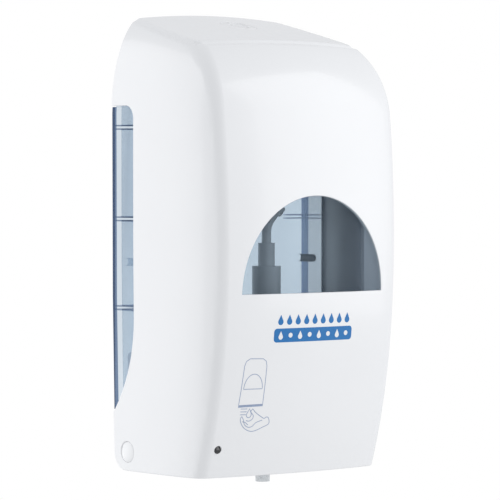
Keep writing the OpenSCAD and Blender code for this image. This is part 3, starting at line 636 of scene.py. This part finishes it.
def skin_shading(obj):
    """Exact normals where a face lies on the cover's outer or inner skin, angle-smooth elsewhere."""
    mesh = obj.data
    mesh.shade_smooth()
    mesh.set_sharp_from_angle(angle=math.radians(28))
    co = np.empty(len(mesh.vertices) * 3)
    mesh.vertices.foreach_get("co", co)
    p = unplace(co.reshape(-1, 3))
    level = skin(p)
    n = skin_normal(p) * np.array([1, -1, 1])
    corner = np.empty(len(mesh.loops) * 3)
    mesh.corner_normals.foreach_get("vector", corner)
    corner = corner.reshape(-1, 3)
    vert = np.empty(len(mesh.loops), int)
    mesh.loops.foreach_get("vertex_index", vert)
    total = np.empty(len(mesh.polygons), int)
    mesh.polygons.foreach_get("loop_total", total)
    flat = np.empty(len(mesh.polygons) * 3)
    mesh.polygons.foreach_get("normal", flat)
    face_n = np.repeat(flat.reshape(-1, 3), total, axis=0)
    for inset, sign in ((0, 1), (COVER_T, -1)):
        near = np.abs(level[vert] + inset) < NEAR_SKIN
        aligned = (face_n * n[vert]).sum(1) * sign > ALIGNED
        use = near & aligned
        corner[use] = n[vert][use] * sign
    mesh.normals_split_custom_set([tuple(v) for v in corner])
    return obj


# turned holes in the cover, as steps of (radius, height) from outside in
CAP_SEAT = [(6.95, 6), (6.95, -0.28), (6.6, -0.55), (6.6, -1.95), (3.0, -1.95), (3.0, -9)]
LOCK_SEAT = [(11.9, 4), (11.9, 0.0), (11.6, -0.3), (11.6, -1.5), (10.1, -1.5), (10.1, -9)]
LED_HOLE = [(2.5, -12), (2.5, 14)]


def build_cover():
    cover = cover_cup()
    hinge_x = float(half_width(np.array(HINGE_Z)))
    cutters = [window_cutter(), notch_cutter(-1), notch_cutter(1), foot_cutter()]
    for side in (-1, 1):
        cutters.append(spin("cut_cap", CAP_SEAT, at(side * hinge_x, HINGE_Q, HINGE_Z, (side, 0, 0)), 96))
    cutters.append(spin("cut_lock", LOCK_SEAT, LOCK_MATRIX, 96))
    cutters.append(spin("cut_indicator", LED_HOLE, at(LED_X, 84, LED_Z, (0, -1, 0)), 48))
    cut(cover, cutters)
    skin_shading(clean(cover, 1e-6))
    finish_piece(cover, "cover", MATERIALS["white_shell"], ["front_cover"])


def build_lens():
    """The window's plate: its outline follows the opening, with a soft edge."""
    def sheet(grow, inset, rows=34, cols=84):
        a, b = WINDOW_A + grow, WINDOW_B + grow
        grid = []
        for i in range(cols):
            x = -a * math.cos(math.pi * i / (cols - 1))
            top = max(b * math.sqrt(max(1 - (x / a) ** 2, 0)), 0.7)
            z = WINDOW_Z - grow + (top + grow) * np.linspace(0, 1, rows)
            grid.append(front_at(np.full(rows, x), z, inset))
        return np.array(grid)

    layers = [sheet(-0.5, 0.32), sheet(-0.28, 0.42), sheet(-0.2, 0.7), sheet(-0.2, 3.0)]
    cols, rows = layers[0].shape[:2]
    points = np.concatenate([layer.reshape(-1, 3) for layer in layers])
    size = cols * rows

    def index(k, i, j):
        return k * size + i * rows + j

    faces = []
    for k in (0, len(layers) - 1):
        for i in range(cols - 1):
            for j in range(rows - 1):
                faces.append((index(k, i, j), index(k, i + 1, j),
                              index(k, i + 1, j + 1), index(k, i, j + 1)))
    edge = ([(i, 0) for i in range(cols)] + [(cols - 1, j) for j in range(1, rows)]
            + [(i, rows - 1) for i in range(cols - 2, -1, -1)] + [(0, j) for j in range(rows - 2, 0, -1)])
    for k in range(len(layers) - 1):
        for a, b in zip(edge, edge[1:] + edge[:1]):
            faces.append((index(k, *a), index(k, *b), index(k + 1, *b), index(k + 1, *a)))
    lens = clean(new_object("level_window", points, faces))
    bm = bmesh.new()
    bm.from_mesh(lens.data)
    loose = [v for v in bm.verts if not v.link_faces]
    bmesh.ops.delete(bm, geom=loose, context="VERTS")
    bm.to_mesh(lens.data)
    bm.free()
    smooth(lens, 40)
    finish_piece(lens, "cover", MATERIALS["smoked_lens"], ["window_lens"])


# ---- printed graphics: generic marks, no lettering ----

INK_T = 0.05                    # millimetres
SHEET_STEP, CURVE_STEP, LINE_STEP = 2.0, 0.7, 1.2
MARKS_RISE = 0.00006            # metres, white over blue


def on_front(obj):
    """Lays a flat shape, drawn in x and z, on the front with the thickness of the ink."""
    mesh = obj.data
    flat = np.array([v.co[:] for v in mesh.vertices]) * 1000
    p = front_at(flat[:, 0], flat[:, 2] + MOUNT_Z, 0)
    p[:, 1] += INK_T
    mesh.vertices.foreach_set("co", place(p).ravel())
    solid = obj.modifiers.new("ink", "SOLIDIFY")
    solid.thickness = 2 * INK_T / 1000
    solid.offset = -1
    return apply_modifiers(obj)


def filled(outlines):
    """A flat sheet inside each outline of (x, z), cut up finely enough to follow the front."""
    bm = bmesh.new()
    for outline in outlines:
        verts = [bm.verts.new((x / 1000, 0, (z - MOUNT_Z) / 1000)) for x, z in outline]
        bm.faces.new(verts)
    for axis, normal in ((0, (1, 0, 0)), (2, (0, 0, 1))):
        low = min(v.co[axis] for v in bm.verts)
        high = max(v.co[axis] for v in bm.verts)
        for level in np.arange(low, high, SHEET_STEP / 1000)[1:]:
            point = (level, 0, 0) if axis == 0 else (0, 0, level)
            everything = bm.verts[:] + bm.edges[:] + bm.faces[:]
            bmesh.ops.bisect_plane(bm, geom=everything, plane_co=point, plane_no=normal)
    mesh = bpy.data.meshes.new("ink")
    bm.normal_update()
    if sum(f.normal.y * f.calc_area() for f in bm.faces) > 0:
        bmesh.ops.reverse_faces(bm, faces=bm.faces)
    bm.to_mesh(mesh)
    bm.free()
    obj = bpy.data.objects.new("ink", mesh)
    bpy.context.scene.collection.objects.link(obj)
    return on_front(obj)


def smooth_line(points):
    """Catmull-Rom curve through points (x, z)."""
    p = np.asarray(points, float)
    p = np.concatenate([2 * p[:1] - p[1:2], p, 2 * p[-1:] - p[-2:-1]])
    out = []
    for a, b, c, d in zip(p, p[1:], p[2:], p[3:]):
        n = max(2, int(np.linalg.norm(c - b) / CURVE_STEP) + 1)
        t = np.linspace(0, 1, n, endpoint=False)[:, None]
        square = (2 * a - 5 * b + 4 * c - d) * t ** 2
        cube = (3 * b - a - 3 * c + d) * t ** 3
        out.append(0.5 * (2 * b + (c - a) * t + square + cube))
    out.append(p[-2:-1])
    return np.concatenate(out)


def straight_line(points, closed=False):
    """Straight runs from point to point (x, z), cut up to follow the front."""
    p = list(points) + ([points[0]] if closed else [])
    out = []
    for a, b in zip(p, p[1:]):
        a, b = np.asarray(a, float), np.asarray(b, float)
        n = max(1, int(np.linalg.norm(b - a) / LINE_STEP))
        out.append(a + (b - a) * np.linspace(0, 1, n, endpoint=False)[:, None])
    if not closed:
        out.append(np.asarray(p[-1:], float))
    return np.concatenate(out)


def stroke(line, width, closed):
    """Left and right edges of a ribbon of even width along a line of (x, z)."""
    p = np.asarray(line, float)
    if closed:
        ahead, behind = np.roll(p, -1, 0), np.roll(p, 1, 0)
    else:
        ahead, behind = np.vstack([p[1:], p[-1:]]), np.vstack([p[:1], p[:-1]])
    along = ahead - behind
    along /= np.maximum(np.linalg.norm(along, axis=1, keepdims=True), 1e-9)
    side = np.stack([-along[:, 1], along[:, 0]], 1) * width / 2
    return p + side, p - side


def ribbons(lines):
    """One flat sheet holding all strokes: each is (line, width, closed)."""
    verts, faces = [], []
    for line, width, closed in lines:
        left, right = stroke(line, width, closed)
        n, first = len(left), len(verts)
        for pair in zip(left, right):
            verts += [(x / 1000, 0, (z - MOUNT_Z) / 1000) for x, z in pair]
        for k in range(n if closed else n - 1):
            j = (k + 1) % n
            faces.append((first + 2 * k, first + 2 * k + 1, first + 2 * j + 1, first + 2 * j))
    mesh = bpy.data.meshes.new("ink")
    mesh.from_pydata(verts, [], faces)
    obj = bpy.data.objects.new("ink", mesh)
    bpy.context.scene.collection.objects.link(obj)
    obj = on_front(obj)
    bm = bmesh.new()
    bm.from_mesh(obj.data)
    bmesh.ops.recalc_face_normals(bm, faces=bm.faces)
    bm.to_mesh(obj.data)
    bm.free()
    return obj


def arc(cx, cz, r, start, end, count):
    """Points (x, z) of a circle's arc, between two angles in degrees."""
    t = np.radians(np.linspace(start, end, count))
    return np.stack([cx + r * np.cos(t), cz + r * np.sin(t)], 1)


def drop(cx, cz, height):
    """Outline of a drop: round below, pointed above."""
    r = height * 0.31
    low = cz - height / 2 + r
    return [(cx, cz + height / 2)] + [tuple(p) for p in arc(cx, low, r, 152, 388, 22)]


def pill(x0, x1, z0, z1, r):
    """Outline of a box with round corners."""
    corners = ((x1 - r, z1 - r, 0), (x0 + r, z1 - r, 90), (x0 + r, z0 + r, 180), (x1 - r, z0 + r, 270))
    return [tuple(p) for cx, cz, a in corners for p in arc(cx, cz, r, a, a + 90, 8)]


def print_badge():
    """Blue badge with a row of drops above it, and white drops and dots knocked out of it."""
    x0, x1, z0, z1 = -31.2, 30.4, 83.4, 92.0
    blue = [pill(x0, x1, z0, z1, 2.2)]
    blue += [drop(x, 97.3, 6.4) for x in np.linspace(x0 + 4.5, x1 - 4.5, 9)]
    badge = filled(blue)
    badge.name = "printed_badge"
    finish_piece(badge, "cover", ink("ink_blue", (0.004, 0.16, 0.45)))
    middle = (z0 + z1) / 2
    places = np.linspace(x0 + 5, x1 - 5, 8)
    white = [drop(x, middle, 5.2) for x in places[::2]]
    white += [arc(x, middle, 1.5, 0, 345, 24) for x in places[1::2]]
    marks = filled([[tuple(p) for p in outline] for outline in white])
    for v in marks.data.vertices:
        v.co.y -= MARKS_RISE
    marks.name = "printed_badge_marks"
    finish_piece(marks, "cover", ink("ink_white", (0.83, 0.84, 0.85)))


def print_pictogram():
    """Thin line drawing: a dispenser with an arched window, rays, a drop and an open hand."""
    thin = 0.42
    body = [(-51.8, 45.2), (-50.6, 69.5), (-49.6, 72.4), (-47.0, 74.0), (-37.6, 73.7), (-35.4, 72.2),
            (-34.6, 69.2), (-34.6, 45.4)]
    lines = [(straight_line(body, closed=True), thin, True)]
    lines.append((straight_line([(-51.9, 44.5), (-34.5, 44.8)]), 1.2, False))
    base, stretch = 55.2, 1.38
    curve = arc(-43.0, base, 6.65, 176, 4, 24) * [1, stretch] - [0, base * (stretch - 1)]
    arch = np.concatenate([[(-49.7, base)], curve, [(-36.4, 55.1)]])
    lines.append((straight_line([tuple(p) for p in arch], closed=True), thin, True))
    lines += [(straight_line([(-49.9, z), (-45.2 - 0.3 * k, z - 0.1)]), thin, False)
              for k, z in enumerate((43.0, 41.2, 39.4))]
    lines.append((straight_line([tuple(p) for p in drop(-43.6, 40.2, 5.6)], closed=True), thin, True))
    hand = [(-41.3, 42.8), (-38.6, 40.2), (-34.4, 37.6), (-32.0, 36.4), (-30.6, 37.2), (-28.9, 36.6),
            (-28.0, 33.0), (-32.5, 30.8), (-37.5, 28.9), (-41.2, 28.8), (-45.2, 30.6), (-47.9, 33.4),
            (-49.2, 36.6), (-48.4, 38.3)]
    palm = [(-48.4, 38.3), (-46.9, 36.0), (-45.6, 33.0), (-42.6, 31.3), (-39.8, 31.9), (-37.6, 34.0),
            (-33.3, 35.4)]
    thumb = [(-41.3, 42.8), (-42.4, 41.0), (-40.3, 38.6), (-40.6, 36.4), (-42.8, 35.2), (-45.0, 35.6)]
    finger = [(-47.6, 35.0), (-45.4, 34.4), (-43.2, 32.8)]
    lines += [(smooth_line(line), thin, False) for line in (hand, palm, thumb, finger)]
    drawing = ribbons(lines)
    drawing.name = "printed_pictogram"
    finish_piece(drawing, "cover", ink("ink_grey_blue", (0.30, 0.37, 0.52)))


def ink(name, colour):
    """Screen-printed ink: a faint mottle and a little less gloss than the cover."""
    n = Nodes(name)
    bsdf = n.principled(IOR=1.48)
    colours = [(0.3, tint(colour, 0.93)), (0.7, tint(colour, 1.07))]
    n.link(n.ramp(n.noise(900, 4), colours), bsdf.inputs["Base Color"])
    n.link(n.spread(n.noise(500, 3), 0.3, 0.42), bsdf.inputs["Roughness"])
    n.link(n.bump(n.noise(3000, 2), 0.00001, 0.3), bsdf.inputs["Normal"])
    return n.surface(bsdf.outputs["BSDF"])


# ---- CAD nodes with softened edges ----

EDGE_ROUND = 0.25               # millimetres
EDGE_ANGLE = 28
FLAT_ANGLE = 0.6
SMOOTH_ANGLE = 34


def refined(node):
    """A copy of a CAD node with its triangles merged into faces and its edges rounded."""
    source = NODES[node]
    mesh = source.data.copy()
    obj = bpy.data.objects.new(node + "_part", mesh)
    bpy.context.scene.collection.objects.link(obj)
    bm = bmesh.new()
    bm.from_mesh(mesh)
    bmesh.ops.remove_doubles(bm, verts=bm.verts, dist=SAME_POINT)
    bmesh.ops.dissolve_limit(bm, angle_limit=math.radians(FLAT_ANGLE), verts=bm.verts, edges=bm.edges)
    bm.to_mesh(mesh)
    bm.free()
    bevel = obj.modifiers.new("soft edges", "BEVEL")
    bevel.width = EDGE_ROUND / 1000
    bevel.segments = 2
    bevel.limit_method = "ANGLE"
    bevel.angle_limit = math.radians(EDGE_ANGLE)
    bevel.harden_normals = False
    apply_modifiers(obj)
    smooth(obj, SMOOTH_ANGLE)
    slot = SLOT_OF[node]
    finish_piece(obj, BODY_OF[node], MATERIALS[slot], [node])


build_cover()
build_lens()
print_badge()
print_pictogram()
REMADE = {"front_cover", "window_lens"}
for name in NODES:
    if name not in REMADE:
        refined(name)


# ---- stage, light and camera ----

AMBIENT = 0.77
SKY = (0.965, 0.975, 1.0, 1)
FLOOR_DISC = [(1150, -430), (1150, -426), (1140, -424)]   # millimetres, steps of (radius, height)
LIGHT_TARGET = Vector((0, -0.05, 0.01))


def build_stage():
    floor = spin("floor", FLOOR_DISC, Matrix.Identity(4), 128)
    floor.data.materials.append(moulded("floor", (0.80, 0.80, 0.80), 0.6, 0.00005, 400, 0.01))
    world = bpy.data.worlds.new("studio")
    bpy.context.scene.world = world
    world.use_nodes = True
    tree = world.node_tree
    background = tree.nodes["Background"]
    background.inputs["Color"].default_value = SKY
    background.inputs["Strength"].default_value = AMBIENT
    backdrop = tree.nodes.new("ShaderNodeBackground")
    backdrop.inputs["Strength"].default_value = 1.0
    backdrop.inputs["Color"].default_value = (1, 1, 1, 1)
    seen = tree.nodes.new("ShaderNodeLightPath")
    mix = tree.nodes.new("ShaderNodeMixShader")
    tree.links.new(seen.outputs["Is Camera Ray"], mix.inputs[0])
    tree.links.new(background.outputs[0], mix.inputs[1])
    tree.links.new(backdrop.outputs[0], mix.inputs[2])
    tree.links.new(mix.outputs[0], tree.nodes["World Output"].inputs["Surface"])
    bpy.context.scene.view_settings.view_transform = "Standard"


def soft_light(name, location, size, power):
    data = bpy.data.lights.new(name, "AREA")
    data.shape = "RECTANGLE"
    data.size, data.size_y = size
    data.energy = power
    light = bpy.data.objects.new(name, data)
    bpy.context.scene.collection.objects.link(light)
    light.location = location
    light.visible_camera = False
    light.rotation_euler = (LIGHT_TARGET - Vector(location)).to_track_quat("-Z", "Y").to_euler()


def build_camera():
    """The photograph's viewpoint; lengths in pixels are for a picture 500 wide."""
    yaw, pitch = math.radians(38), math.radians(1.465)
    distance, focal_px, picture, shift_px = 1.9628, 3100.0, 500, (-8.11, -10.27)
    target = Vector(place((0, 50, 145)))
    level = math.cos(pitch)
    forward = Vector((math.sin(yaw) * level, math.cos(yaw) * level, -math.sin(pitch)))
    data = bpy.data.cameras.new("camera")
    data.sensor_width = 36
    data.lens = focal_px / picture * data.sensor_width
    data.shift_x, data.shift_y = (shift / picture for shift in shift_px)
    camera = bpy.data.objects.new("camera", data)
    bpy.context.scene.collection.objects.link(camera)
    camera.location = target - forward * distance
    camera.rotation_euler = forward.to_track_quat("-Z", "Y").to_euler()
    bpy.context.scene.camera = camera


build_stage()
build_camera()
soft_light("left", (-1.20, 1.20, 0.15), (1.1, 1.9), 8.3)
soft_light("behind", (-0.20, 1.80, 0.10), (1.4, 1.7), 9)
soft_light("right", (1.10, -1.28, 0.55), (1.1, 1.9), 11.0)
